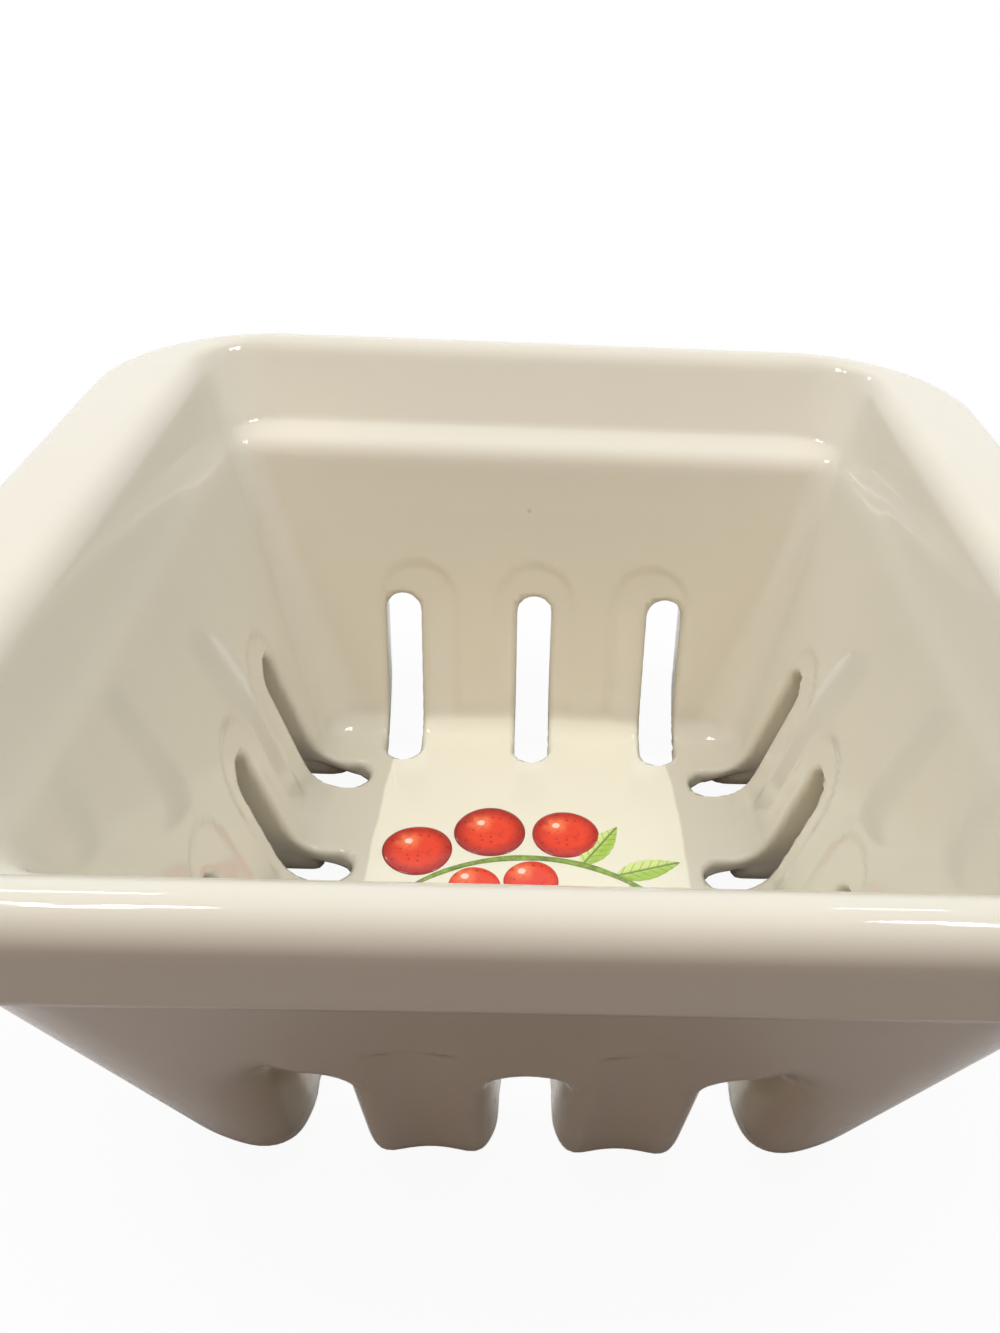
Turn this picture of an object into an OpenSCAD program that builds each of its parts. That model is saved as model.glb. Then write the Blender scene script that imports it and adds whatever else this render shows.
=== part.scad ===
// Square glazed berry bowl with a drainer base.
// The bowl stands on the table at z = 0 and its middle is at x = 0, y = 0.
// All sizes are in millimetres.

/* [Rim] */
// Outer width of the square rim
rim_w = 140; // [138:1:160]
// Corner radius of the rim, seen from above
rim_corner_r = 27.2; // [24.2:0.2:28]
// Height of the plain band round the outside of the rim
band_h = 9.4; // [7.4:0.2:11]
// Rounding of the band's lower edge
band_edge_r = 1; // [0.4:0.1:1.6]
// Rounding of the lip towards the outside
lip_outer_r = 3.4; // [2.4:0.1:4.4]
// Rounding of the lip towards the inside
lip_inner_r = 4.4; // [3:0.1:5.4]
// Slope of the flare inside the lip, in degrees from level
flare_angle = 57; // [52:1:66]
// Depth of the inner ledge below the top of the lip
ledge_depth = 11; // [9:0.2:11.6]
// Slope of the inner ledge, in degrees from level
ledge_slope = 18; // [8:1:28]
// Level width of the inner ledge
ledge_w = 3.9; // [2.4:0.1:4.6]
// Rounding from the ledge down into the wall
ledge_r = 3.8; // [2.6:0.1:4.4]
// Height of plain inner wall in the rim pieces, under the ledge's rounding
rim_under = 0.8; // [0.4:0.1:2]
// How much wider the lip is at the left and right than at the front and back
side_lip_w = 7.6; // [3:0.2:8.6]
// Straight rim between its side pieces and the start of a corner's turn
rim_run = 1; // [0.4:0.1:3]

/* [Walls] */
// Height from the table to the top of the lip
bowl_h = 69; // [60:1:71]
// Outward lean of the inner wall, in degrees from upright
wall_lean = 15.2; // [11:0.1:16]
// Level thickness of the wall at the table
wall_foot_t = 13.8; // [11.5:0.1:15]
// Level thickness of the wall under the band
wall_top_t = 13.6; // [12:0.1:15]
// Corner radius of the inner wall at the floor, seen from above
inner_corner_r = 8; // [6.6:0.2:10]

/* [Base] */
// Thickness of the floor
floor_t = 4.3; // [3.5:0.1:6]
// Height of the floor's underside above the table
foot_lift = 2.4; // [1.5:0.1:3.5]
// Level width of the flat foot under each lobe
foot_bar_w = 5.6; // [4:0.2:7]
// Rounding from the outer wall down to the foot
foot_r = 12; // [8:0.2:12.6]
// Rounding between the floor and the inner wall
floor_fillet_r = 5.6; // [4:0.1:6.6]
// Flat floor between the floor panel and the rounding up into the wall
floor_flat = 1.2; // [0.6:0.1:3]

/* [Drain slots] */
// Width of a drain slot
slot_w = 6.2; // [5:0.1:7.6]
// Straight wall between the last slot and the start of the corner's turn
corner_start = 1; // [0.4:0.1:4]
// Height of the top of a slot in the wall
slot_top_z = 31.5; // [26:0.1:38]

/* [Scoops outside] */
// Width of the scooped channel round each slot
channel_w = 10.9; // [9:0.1:12.5]
// Depth of the scooped channel
channel_depth = 2.5; // [1.6:0.1:3.2]
// Height of the top of the scooped channel
channel_top_z = 32.6; // [27:0.1:40]
// Width of the shallow groove down the middle of each lobe
groove_w = 10.4; // [8:0.1:11.6]
// Depth of the shallow groove
groove_depth = 0.7; // [0.3:0.1:1]
// Height of the top of the shallow groove
groove_top_z = 41; // [34:0.5:46]

/* [Painted sprig] */
// Thickness of the fired enamel
enamel_t = 0.2; // [0.1:0.05:0.4]
// Bare margin between the sprig and the edge of the floor panel
sprig_margin = 0.9; // [0.5:0.1:6]
// Bare line between two colours of the sprig
paint_gap = 0.2; // [0.1:0.05:0.4]

/* [Hidden] */

// Overrun of every cut past the face that it leaves
over = 1;
// Steps in a rounding seen from the side, and in a corner seen from above
round_steps = 6;
corner_steps = 10;
$fn = 48;

// Heights
band_z = bowl_h - band_h;
floor_z = foot_lift + floor_t;

// Half width of the rim and the centre of its corner arcs, seen from above
rim_half = rim_w / 2;
corner_c = rim_half - rim_corner_r;

// Rim section, as depth in from the band's face and depth down from the lip
lip_end_in = lip_outer_r + lip_inner_r * sin(flare_angle);
lip_end_down = lip_inner_r * (1 - cos(flare_angle));
flare_end_in = lip_end_in + (ledge_depth - lip_end_down) / tan(flare_angle);
ledge_end_in = flare_end_in + ledge_w;
ledge_end_down = ledge_depth + ledge_w * tan(ledge_slope);
ledge_round_in = ledge_end_in - ledge_r * sin(ledge_slope);
ledge_round_down = ledge_end_down + ledge_r * cos(ledge_slope);
wall_start_in = ledge_round_in + ledge_r * cos(wall_lean);
wall_start_down = ledge_round_down - ledge_r * sin(wall_lean);
rim_z = bowl_h - wall_start_down - rim_under;

// Half width of the inner and the outer wall face at height z
function inner_at(z) =
    rim_half - wall_start_in + (z - bowl_h + wall_start_down) * tan(wall_lean);
foot_half = inner_at(0) + wall_foot_t;
top_half = inner_at(band_z) + wall_top_t;
outer_lean = atan((top_half - foot_half) / band_z);
function outer_at(z) = foot_half + z * tan(outer_lean);

// Distance from the middle to the centre of the corner arcs at height z
corner_floor_c = inner_at(floor_z) - inner_corner_r;
corner_lean = atan((corner_c - corner_floor_c) / (rim_z - floor_z));
function corner_at(z) = corner_c - (rim_z - z) * tan(corner_lean);

// Rounding between the floor and the inner wall, and the floor panel within it
fillet_z = floor_z + floor_fillet_r;
fillet_half = inner_at(fillet_z) - floor_fillet_r / cos(wall_lean);
floor_half = fillet_half - floor_flat;

// Slots: edge of the last one and distance between the middles of two
slot_r = slot_w / 2;
slot_round_z = slot_top_z - slot_r;
slot_edge = corner_at(0) - corner_start;
slot_pitch = slot_edge - slot_r;

// Points of an arc, from angle a to angle b
function arc(middle, r, a, b, steps) = [
    for (i = [0 : steps])
        let (t = a + (b - a) * i / steps)
            [middle[0] + r * cos(t), middle[1] + r * sin(t)]
];
// A list of points shifted along its first axis
function shifted(points, dx) = [for (p = points) [p[0] + dx, p[1]]];
function flipped(points) = [for (p = points) [-p[0], p[1]]];
function reversed(points) =
    [for (i = [len(points) - 1 : -1 : 0]) points[i]];
function without_first(points) =
    [for (i = [1 : len(points) - 1]) points[i]];

// Outer profile of a wall, from the foot's flat up to height z
foot_round_half = outer_at(foot_r) - foot_r / cos(outer_lean);
function outer_profile(z) = concat(
    arc([foot_round_half, foot_r], foot_r, -90, -outer_lean, round_steps),
    [[outer_at(z), z]]
);
// Inner profile of a wall, from the floor up to height z
function inner_profile(z) = concat(
    arc([fillet_half, fillet_z], floor_fillet_r, -90, -wall_lean, round_steps),
    [[inner_at(z), z]]
);
foot_in = foot_round_half - foot_bar_w;

// Section of the rim, from the band's lower edge over the lip to the wall
rim_section = concat(
    [[outer_at(rim_z), rim_z], [outer_at(band_z), band_z]],
    arc([rim_half - band_edge_r, band_z + band_edge_r],
        band_edge_r, -90, 0, round_steps),
    arc([rim_half - lip_outer_r, bowl_h - lip_outer_r],
        lip_outer_r, 0, 90, round_steps),
    without_first(arc([rim_half - lip_outer_r, bowl_h - lip_inner_r],
        lip_inner_r, 90, 90 + flare_angle, round_steps)),
    [[rim_half - flare_end_in, bowl_h - ledge_depth]],
    arc([rim_half - ledge_round_in, bowl_h - ledge_round_down],
        ledge_r, 90 + ledge_slope, 180 - wall_lean, round_steps),
    [[inner_at(rim_z), rim_z]]
);

// How far each point of that section moves in at the left and right, where the
// lip is wide and the ledge fades into the flare. The outer points stay
outer_points = 4 + 2 * round_steps;
side_flare_share = 0.66;
side_ledge_share = 0.27;
lip_rests = [for (i = [1 : round_steps]) pow(1 - i / round_steps, 2)];
side_moves = concat(
    [for (i = [1 : outer_points]) 0],
    [for (rest = lip_rests) side_lip_w * (1 - rest)],
    [side_lip_w * side_flare_share],
    [for (i = [0 : round_steps])
        side_lip_w * side_ledge_share * pow(1 - i / round_steps, 2)],
    [0]
);
side_rim_section = [
    for (i = [0 : len(rim_section) - 1])
        [rim_section[i][0] - side_moves[i], rim_section[i][1]]
];

// Corner of the rim: radius of its inside, which the lip eases into, centre of
// each point's turn, and half length of the straight pieces
rim_inner_r = inner_at(rim_z) - corner_c;
lip_turn_r = rim_half - lip_outer_r - corner_c;
rim_centres = [
    for (i = [0 : len(rim_section) - 1])
        let (
            k = i - outer_points,
            rest = k < 0 ? 1 : k < round_steps ? lip_rests[k] : 0,
            r = rim_inner_r + (lip_turn_r - rim_inner_r) * rest
        )
            k < 0 ? corner_c : rim_section[i][0] - r
];
rim_bar_half = corner_c - rim_run;

// Section of a lobe, from the foot up to the slots' round tops
lobe_section = concat(
    [[floor_half, foot_lift], [foot_in, foot_lift], [foot_in, 0]],
    outer_profile(slot_round_z),
    reversed(inner_profile(slot_round_z)),
    [[floor_half, floor_z]]
);

// Section of a wall, from the slots' round tops up to the rim
wall_section = [
    [outer_at(slot_round_z), slot_round_z],
    [outer_at(rim_z), rim_z],
    [inner_at(rim_z), rim_z],
    [inner_at(slot_round_z), slot_round_z],
];

// Closed outline of a rounded square: half width v, corner centres at c
function ring(v, c, z) = [
    for (k = [0 : 3])
        for (p = arc([c, -c], v - c, -90, 0, corner_steps))
            [p[0] * cos(90 * k) - p[1] * sin(90 * k),
             p[0] * sin(90 * k) + p[1] * cos(90 * k), z]
];

// Solid that follows a profile of [half width, height] points
module lofted(profile) {
    m = 4 * (corner_steps + 1);
    last = len(profile) - 1;
    points = [
        for (p = profile) each ring(p[0], corner_at(p[1]), p[1])
    ];
    sides = [
        for (i = [0 : last - 1])
            for (j = [0 : m - 1])
                let (a = i * m + j, b = i * m + (j + 1) % m)
                    each [[a, a + m, b + m], [a, b + m, b]]
    ];
    polyhedron(
        points,
        concat(
            [[for (j = [0 : m - 1]) j]],
            sides,
            [[for (j = [m - 1 : -1 : 0]) last * m + j]]
        )
    );
}

// Turns the front of the bowl to side k: 0 front, 1 right, 2 back, 3 left
module on_side(k) {
    rotate([0, 0, 90 * k])
        children();
}

// Bar along the front with the given section, from x = a to x = b
module front_bar(section, a, b) {
    translate([a, 0, 0])
        rotate([90, 0, 90])
            linear_extrude(height = b - a)
                polygon(flipped(section));
}

// Cutter for a scoop in the front wall, w wide and depth deep, with a
// round top at height top_z
module wall_scoop(x, w, depth, top_z) {
    r = (w * w / 4 + depth * depth) / (2 * depth);
    run = top_z / cos(outer_lean) - w / 2;
    translate([x, -foot_half, 0])
        rotate([outer_lean, 0, 0])
            translate([0, depth - r, 0]) {
                translate([0, 0, -foot_r])
                    cylinder(r = r, h = run + foot_r);
                translate([0, 0, run])
                    sphere(r = r);
            }
}

// Cutter for a scoop under the front foot, w wide and depth deep
module foot_scoop(x, w, depth) {
    r = (w * w / 4 + depth * depth) / (2 * depth);
    translate([x, -foot_half - over, depth - r])
        rotate([-90, 0, 0])
            cylinder(r = r, h = foot_half - foot_in + over + over);
}

module channel(x) {
    wall_scoop(x, channel_w, channel_depth, channel_top_z);
    foot_scoop(x, channel_w, min(channel_depth, foot_lift));
}

module groove(x) {
    wall_scoop(x, groove_w, groove_depth, groove_top_z);
    foot_scoop(x, groove_w, groove_depth);
}

// Straight length of the rim: narrow lip at the front and back, wide at the sides
module rim_side(k) {
    color("ivory")
        on_side(k)
            front_bar(
                k % 2 == 0 ? rim_section : side_rim_section,
                -rim_bar_half, rim_bar_half
            );
}

// Points of the rim's section at one step of a corner's turn, where move_x and
// move_y say which way the wide lip moves in
function rim_column(angle, move_x, move_y) = [
    for (i = [0 : len(rim_section) - 1])
        let (
            c = rim_centres[i],
            r = rim_section[i][0] - c,
            m = side_moves[i]
        )
            [c - move_x * m + r * cos(angle),
             move_y * m - c + r * sin(angle),
             rim_section[i][1]]
];

// Quarter turn of the rim, from the narrow lip to the wide one
module rim_corner(k) {
    move_x = 1 - k % 2;
    move_y = k % 2;
    rows = len(rim_section);
    first = rim_column(-90, move_x, move_y);
    final = rim_column(0, move_x, move_y);
    points = concat(
        [for (p = first) [rim_bar_half, p[1], p[2]]],
        [for (j = [0 : corner_steps])
            each rim_column(90 * j / corner_steps - 90, move_x, move_y)],
        [for (p = final) [p[0], -rim_bar_half, p[2]]]
    );
    last = corner_steps + 2;
    sides = [
        for (j = [0 : last - 1])
            for (i = [0 : rows - 1])
                let (a = j * rows + i, b = j * rows + (i + 1) % rows)
                    each [[a, b, b + rows], [a, b + rows, a + rows]]
    ];
    color("ivory")
        on_side(k)
            polyhedron(
                points,
                concat(
                    [[for (i = [rows - 1 : -1 : 0]) i]],
                    sides,
                    [[for (i = [0 : rows - 1]) last * rows + i]]
                )
            );
}

// Wall above the slots, with the slots' round tops cut into its lower edge
module wall_side(k) {
    color("oldlace")
        on_side(k)
            difference() {
                front_bar(wall_section, -slot_edge, slot_edge);
                for (i = [-1 : 1]) {
                    translate([i * slot_pitch, -foot_half - rim_half, slot_round_z])
                        rotate([-90, 0, 0])
                            cylinder(r = slot_r, h = foot_half + rim_half);
                    channel(i * slot_pitch);
                }
                for (i = [-1 : 2 : 1])
                    groove(i * slot_pitch / 2);
            }
}

// Corner of the wall and base, from the foot up to the rim
module wall_corner(k) {
    far = rim_half + over;
    color("oldlace")
        on_side(k)
            difference() {
                intersection() {
                    lofted(outer_profile(rim_z));
                    translate([slot_edge, -far, 0])
                        cube([far - slot_edge, far - slot_edge, rim_z]);
                }
                lofted(inner_profile(rim_z + over));
                translate([-floor_half, -floor_half, -over])
                    cube([2 * floor_half, 2 * floor_half, floor_z + 2 * over]);
                translate([-foot_in, -foot_in, -over])
                    cube([2 * foot_in, 2 * foot_in, foot_lift + over]);
                channel(slot_pitch);
                rotate([0, 0, 90])
                    channel(-slot_pitch);
            }
}

// Lobe between two slots: part of the wall, part of the base and a foot.
// Seen from outside, side is -1 for the left one and 1 for the right one
module lobe(k, side) {
    low = side > 0 ? slot_r : slot_r - slot_pitch;
    color("linen")
        on_side(k)
            difference() {
                front_bar(lobe_section, low, low + slot_pitch - slot_w);
                channel(0);
                channel(side * slot_pitch);
                groove(side * slot_pitch / 2);
            }
}

// Floor inside the slots' round ends
module floor_middle() {
    color("cornsilk")
        difference() {
            translate([-floor_half, -floor_half, foot_lift])
                cube([2 * floor_half, 2 * floor_half, floor_t]);
            for (k = [0 : 3])
                for (i = [-1 : 1])
                    on_side(k)
                        translate([i * slot_pitch, -floor_half, foot_lift - over])
                            cylinder(r = slot_r, h = floor_t + 2 * over);
        }
}

// Painted sprig: an arched stem with berries at its left and leaves at its right.
// It is drawn in shares of the half width that the floor panel leaves for it
sprig_half = floor_half - sprig_margin;
stem_arc_share = 0.913;
stem_w_share = 0.0354;
stem_drop_share = 0.823;
berry_share = 0.196;
leaf_len_share = 0.3666;
leaf_w_share = 0.164;
stem_arc_r = sprig_half * stem_arc_share;
stem_w = sprig_half * stem_w_share;
// Distance from the floor's middle to the centre of the stem's arc
stem_drop = sprig_half * stem_drop_share;
berry_r = sprig_half * berry_share;
leaf_len = sprig_half * leaf_len_share;
leaf_w = sprig_half * leaf_w_share;
// Angle along the arc, side of the stem and size share of each berry
berry_turn_shares = [
    [122, 1, 0.96], [101, 1, 1], [80, 1, 0.94],
    [138, -1, 0.78], [112, -1, 0.7], [89, -1, 0.74],
];
// Angle along the arc and lean from the stem's run, of the leaves outside the arc
outer_leaf_turns = [[72, 75], [60, 48], [46, 40]];
// The same for the leaves inside the arc, and the lean of the leaf at its end
inner_leaf_turns = [[54, -38], [40, -36]];
end_leaf_lean = -2;
stem_from = 36;
stem_to = 132;
stem_steps = 32;

module enamel() {
    translate([0, -stem_drop, floor_z])
        linear_extrude(height = enamel_t)
            children();
}

module berries_outline(grow) {
    for (t = berry_turn_shares)
        let (r = berry_r * t[2])
            rotate(t[0])
                translate([stem_arc_r + t[1] * (stem_w / 2 + paint_gap + r), 0])
                    circle(r = r + grow);
}

// Leaf with its foot at the start of x and its tip at the far end
module leaf_outline() {
    r = (leaf_len * leaf_len / 4 + leaf_w * leaf_w / 4) / leaf_w;
    translate([leaf_len / 2, 0])
        intersection() {
            translate([0, r - leaf_w / 2])
                circle(r = r);
            translate([0, leaf_w / 2 - r])
                circle(r = r);
        }
}

module leaves_along(turns) {
    for (t = turns)
        rotate(t[0])
            translate([stem_arc_r, 0])
                rotate(t[1] - 90)
                    leaf_outline();
}

module leaves_outline() {
    difference() {
        leaves_along(outer_leaf_turns);
        circle(r = stem_arc_r + stem_w / 2 + paint_gap);
    }
    intersection() {
        leaves_along(inner_leaf_turns);
        circle(r = stem_arc_r - stem_w / 2 - paint_gap);
    }
    rotate(stem_from)
        translate([stem_arc_r, -paint_gap])
            rotate(end_leaf_lean - 90)
                leaf_outline();
}

module stem_outline() {
    polygon(concat(
        arc([0, 0], stem_arc_r + stem_w / 2, stem_from, stem_to, stem_steps),
        arc([0, 0], stem_arc_r - stem_w / 2, stem_to, stem_from, stem_steps)
    ));
}

module painted_berries() {
    color("firebrick")
        enamel()
            berries_outline(0);
}

module painted_leaves() {
    color("yellowgreen")
        enamel()
            difference() {
                leaves_outline();
                berries_outline(paint_gap);
            }
}

module painted_stem() {
    color("olivedrab")
        enamel()
            stem_outline();
}

rim_side(0);  // rim_front
rim_side(1);  // rim_right
rim_side(2);  // rim_back
rim_side(3);  // rim_left
rim_corner(0);  // rim_corner_front_right
rim_corner(1);  // rim_corner_back_right
rim_corner(2);  // rim_corner_back_left
rim_corner(3);  // rim_corner_front_left
wall_side(0);  // wall_front
wall_side(1);  // wall_right
wall_side(2);  // wall_back
wall_side(3);  // wall_left
wall_corner(0);  // corner_front_right
wall_corner(1);  // corner_back_right
wall_corner(2);  // corner_back_left
wall_corner(3);  // corner_front_left
lobe(0, -1);  // lobe_front_left
lobe(0, 1);  // lobe_front_right
lobe(1, -1);  // lobe_right_front
lobe(1, 1);  // lobe_right_back
lobe(2, -1);  // lobe_back_right
lobe(2, 1);  // lobe_back_left
lobe(3, -1);  // lobe_left_back
lobe(3, 1);  // lobe_left_front
floor_middle();  // floor_panel
painted_stem();  // enamel_stem
painted_leaves();  // enamel_leaves
painted_berries();  // enamel_berries
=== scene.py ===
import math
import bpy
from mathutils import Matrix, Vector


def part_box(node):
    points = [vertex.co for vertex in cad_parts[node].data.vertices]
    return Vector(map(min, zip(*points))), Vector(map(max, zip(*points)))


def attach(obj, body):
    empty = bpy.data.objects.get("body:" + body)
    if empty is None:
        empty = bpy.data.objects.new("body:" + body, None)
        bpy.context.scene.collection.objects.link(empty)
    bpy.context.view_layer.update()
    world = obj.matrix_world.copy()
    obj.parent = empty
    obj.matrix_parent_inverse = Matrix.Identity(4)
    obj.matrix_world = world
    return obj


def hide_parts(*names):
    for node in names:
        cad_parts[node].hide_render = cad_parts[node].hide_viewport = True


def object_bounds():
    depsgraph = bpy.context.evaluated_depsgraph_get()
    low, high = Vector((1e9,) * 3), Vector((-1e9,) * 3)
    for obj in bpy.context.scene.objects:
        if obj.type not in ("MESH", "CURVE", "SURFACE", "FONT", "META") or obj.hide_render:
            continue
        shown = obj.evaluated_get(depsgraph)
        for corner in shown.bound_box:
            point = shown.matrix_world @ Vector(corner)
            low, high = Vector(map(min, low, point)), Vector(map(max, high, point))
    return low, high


bl_info = {
    "name": "Berry Colander Bowl",
    "version": (1, 0, 0),
    "blender": (4, 5, 0),
    "location": "3D View > Sidebar > Berry Bowl",
    "description": "Builds the glazed berry bowl and its painted sprig over the packed model",
    "category": "Add Mesh",
}

import bpy
import numpy as np
from bpy.props import FloatProperty, FloatVectorProperty, PointerProperty
from mathutils import Matrix, Vector

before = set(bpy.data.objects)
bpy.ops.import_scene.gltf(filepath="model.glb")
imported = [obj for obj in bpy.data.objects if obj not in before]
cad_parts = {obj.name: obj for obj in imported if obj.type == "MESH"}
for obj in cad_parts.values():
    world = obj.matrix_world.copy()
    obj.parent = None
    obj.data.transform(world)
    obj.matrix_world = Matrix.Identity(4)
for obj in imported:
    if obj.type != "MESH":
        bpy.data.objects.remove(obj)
CAD_LOW, CAD_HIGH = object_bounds()
CERAMIC_NODES = sorted(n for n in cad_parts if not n.startswith("enamel_"))
FLOOR_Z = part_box("enamel_stem")[0].z

# Smallest length and area to divide by, and squared length of an edge left out
TINY, TINY_AREA, NO_EDGE = 1e-9, 1e-12, 1e-16


# ---- settings


def length(name, description, default, low=0.0001, high=0.5):
    """A length that the user can change, in metres."""
    return FloatProperty(
        name=name, description=description, default=default, min=low, max=high,
        unit="LENGTH", precision=4,
    )


def angle(name, description, degrees):
    """An angle that the user can change."""
    return FloatProperty(
        name=name, description=description, default=math.radians(degrees), subtype="ANGLE"
    )


def colour(name, description, default):
    """A colour that the user can change."""
    return FloatVectorProperty(
        name=name, description=description, default=default, size=3, min=0.0, max=1.0,
        subtype="COLOR",
    )


class BowlSizes(bpy.types.PropertyGroup):
    """Sizes of the glazed bowl."""

    rim_width: length("Rim width", "Outer width of the square rim", CAD_HIGH.x - CAD_LOW.x)
    height: length("Height", "Height from the table to the lip", CAD_HIGH.z)
    rim_corner: length("Rim corner", "Corner radius of the rim", 0.0272)
    band_height: length("Band height", "Height of the plain band", 0.0104)
    band_edge: length("Band edge", "Rounding of the band's lower edge", 0.001)
    lip_outer: length("Lip outside", "Rounding of the lip towards the outside", 0.0034)
    lip_inner: length("Lip inside", "Rounding of the lip towards the inside", 0.0044)
    flare: angle("Flare", "Slope of the flare inside the lip", 57)
    ledge_depth: length("Ledge depth", "Depth of the ledge below the lip", 0.011)
    ledge_width: length("Ledge width", "Level width of the ledge", 0.0039)
    ledge_slope: angle("Ledge slope", "Slope of the ledge", 18)
    ledge_round: length("Ledge rounding", "Rounding from the ledge into the wall", 0.0038)
    side_lip: length("Wider side lip", "How much wider the lip is at the left and right", 0.0076)
    side_flare: angle("Side flare", "Slope of the flare at the left and right", 71.5)
    side_strip: length("Side strip", "Height of the soft strip under the side flare", 0.002)
    corner_rim: length("Corner in rim", "Inner corner radius of the rim", 0.010)
    wall_lean: angle("Wall lean", "Outward lean of the inner wall", 15.2)
    wall_foot: length("Wall at foot", "Level thickness of the wall at the table", 0.0138)
    wall_top: length("Wall at top", "Level thickness of the wall under the band", 0.0136)
    corner_floor: length("Corner at floor", "Inner corner radius at the floor", 0.008)
    corner_ledge: length("Corner at ledge", "Inner corner radius below the ledge", 0.0043)
    floor_top: length("Floor", "Height of the floor's top above the table", FLOOR_Z)
    foot_lift: length("Foot lift", "Height of the floor's underside", 0.0024)
    foot_width: length("Foot width", "Width of the flat foot under each lobe", 0.0056)
    foot_round: length("Foot rounding", "Rounding from the wall down to the foot", 0.012)
    floor_round: length("Floor rounding", "Rounding between floor and wall", 0.0056)
    slot_width: length("Slot width", "Width of a drain slot", 0.0062)
    slot_pitch: length("Slot pitch", "Distance between two slots", 0.02382)
    slot_top: length("Slot top", "Height of the top of a slot", 0.0315)
    side_slot_drop: length(
        "Side slot drop", "How much lower the slots are at the left and right", 0.0034
    )
    side_slot_step: length(
        "Side slot step", "How much lower each side slot is than the one behind it", 0.0019
    )
    slot_end: length("Slot end", "Distance of a slot's round end from the middle", 0.03231)
    scoop_width: length("Scoop width", "Width of the scooped channel at a slot", 0.0116)
    scoop_depth: length("Scoop depth", "Depth of the scooped channel", 0.0025)
    scoop_top: length("Scoop top", "Height of the top of the channel", 0.0327)
    dimple_width: length("Dimple width", "Width of the dimple down a lobe", 0.0112)
    dimple_depth: length("Dimple depth", "Depth of the dimple down a lobe", 0.0007)
    dimple_top: length("Dimple top", "Height of the top of a dimple", 0.041)
    pad_width: length("Pad width", "Width of the sunk pad inside each slot", 0.0158)
    pad_pitch: length("Pad pitch", "Distance between two pads", 0.0210)
    pad_depth: length("Pad depth", "How deep the pad round a slot is sunk", 0.00028)
    pad_top: length("Pad top", "Height of the top of a pad", 0.0382)
    slot_edge_in: length("Slot edge inside", "Softness of the slot edges inside", 0.0013)
    slot_edge_out: length("Slot edge outside", "Softness of the slot edges outside", 0.0042)
    slot_edge_corner: length("Slot edge at corner", "Softness of the corner feet's edges", 0.0078)
    slot_draft: length("Slot draft", "How much a slot opens outwards", 0.0004)
    glaze_soft: length("Glaze softness", "How far the glaze softens every edge", 0.0004)
    mesh_step: length("Mesh step", "Distance between two points of the skin", 0.00105)


class SprigSizes(bpy.types.PropertyGroup):
    """Sizes of the painted sprig."""

    thickness: length("Thickness", "Thickness of the fired enamel", 0.0002)
    stem_arc: length("Stem arc", "Radius of the arc that the stem follows", 0.02868)
    stem_width: length("Stem width", "Width of the stem", 0.00111)
    stem_drop: length("Stem drop", "Distance of the arc's centre from the middle", 0.02585)
    berry_radius: length("Berry radius", "Radius of the largest berry", 0.006157)
    leaf_length: length("Leaf length", "Length of a leaf", 0.011515)
    leaf_width: length("Leaf width", "Width of a leaf", 0.00515)


class GlazeColours(bpy.types.PropertyGroup):
    """Colours of the glaze, the bare clay and the enamels."""

    glaze: colour("Glaze", "Cream-white glaze", (0.755, 0.72, 0.61))
    # Painted shade: the glaze darkened low down, near the floor and on the feet
    glaze_low_shade: colour("Shaded glaze", "Glaze darkened low down as painted shade", (0.60, 0.57, 0.47))
    glaze_thin: colour("Thin glaze", "Glaze in its thinner clouds", (0.77, 0.73, 0.61))
    # Floor field: lighter cream on the floor's middle, partly the glaze's own tone and partly
    # painted light
    field: colour("Floor field", "Lighter cream field on the floor under the sprig, partly painted light", (0.82, 0.80, 0.66))
    clay: colour("Bare clay", "Clay on the wiped feet", (0.66, 0.58, 0.47))
    berry: colour("Berry", "Enamel of the berries", (0.78, 0.050, 0.018))
    berry_light: colour("Berry light", "Light side of the berries", (0.90, 0.24, 0.10))
    berry_dark: colour("Berry dark", "Dark rim of the berries", (0.42, 0.014, 0.008))
    leaf: colour("Leaf", "Enamel of the leaves", (0.36, 0.56, 0.08))
    leaf_light: colour("Leaf light", "Light side of the leaves", (0.64, 0.78, 0.28))
    line: colour("Brush line", "Fine dark brush line", (0.13, 0.20, 0.04))


# ---- shape of the bowl


def arc(x, z, radius, start, end, steps=14):
    """Points of an arc, angles in degrees."""
    t = np.radians(np.linspace(start, end, steps + 1))
    return list(zip(x + radius * np.cos(t), z + radius * np.sin(t)))


def ease(t):
    """0 below 0, 1 above 1 and smooth in between."""
    t = np.clip(t, 0.0, 1.0)
    return t * t * (3 - 2 * t)


def soft_max(a, b, width):
    """The larger of two fields, with their edge softened over a width."""
    h = np.maximum(width - np.abs(a - b), 0.0) / width
    return np.maximum(a, b) + h * h * width * 0.25


def softened(values, cells, axis):
    """Values softened along one axis, with cells as the spread."""
    reach = int(math.ceil(cells * 3))
    weights = np.exp(-0.5 * (np.arange(-reach, reach + 1) / cells) ** 2)
    weights /= weights.sum()
    pad = [(0, 0)] * values.ndim
    pad[axis] = (reach, reach)
    wide = np.pad(values, pad, mode="reflect", reflect_type="odd")
    n = values.shape[axis]
    return sum(
        w * np.take(wide, np.arange(i, i + n), axis=axis) for i, w in enumerate(weights)
    )


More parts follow.
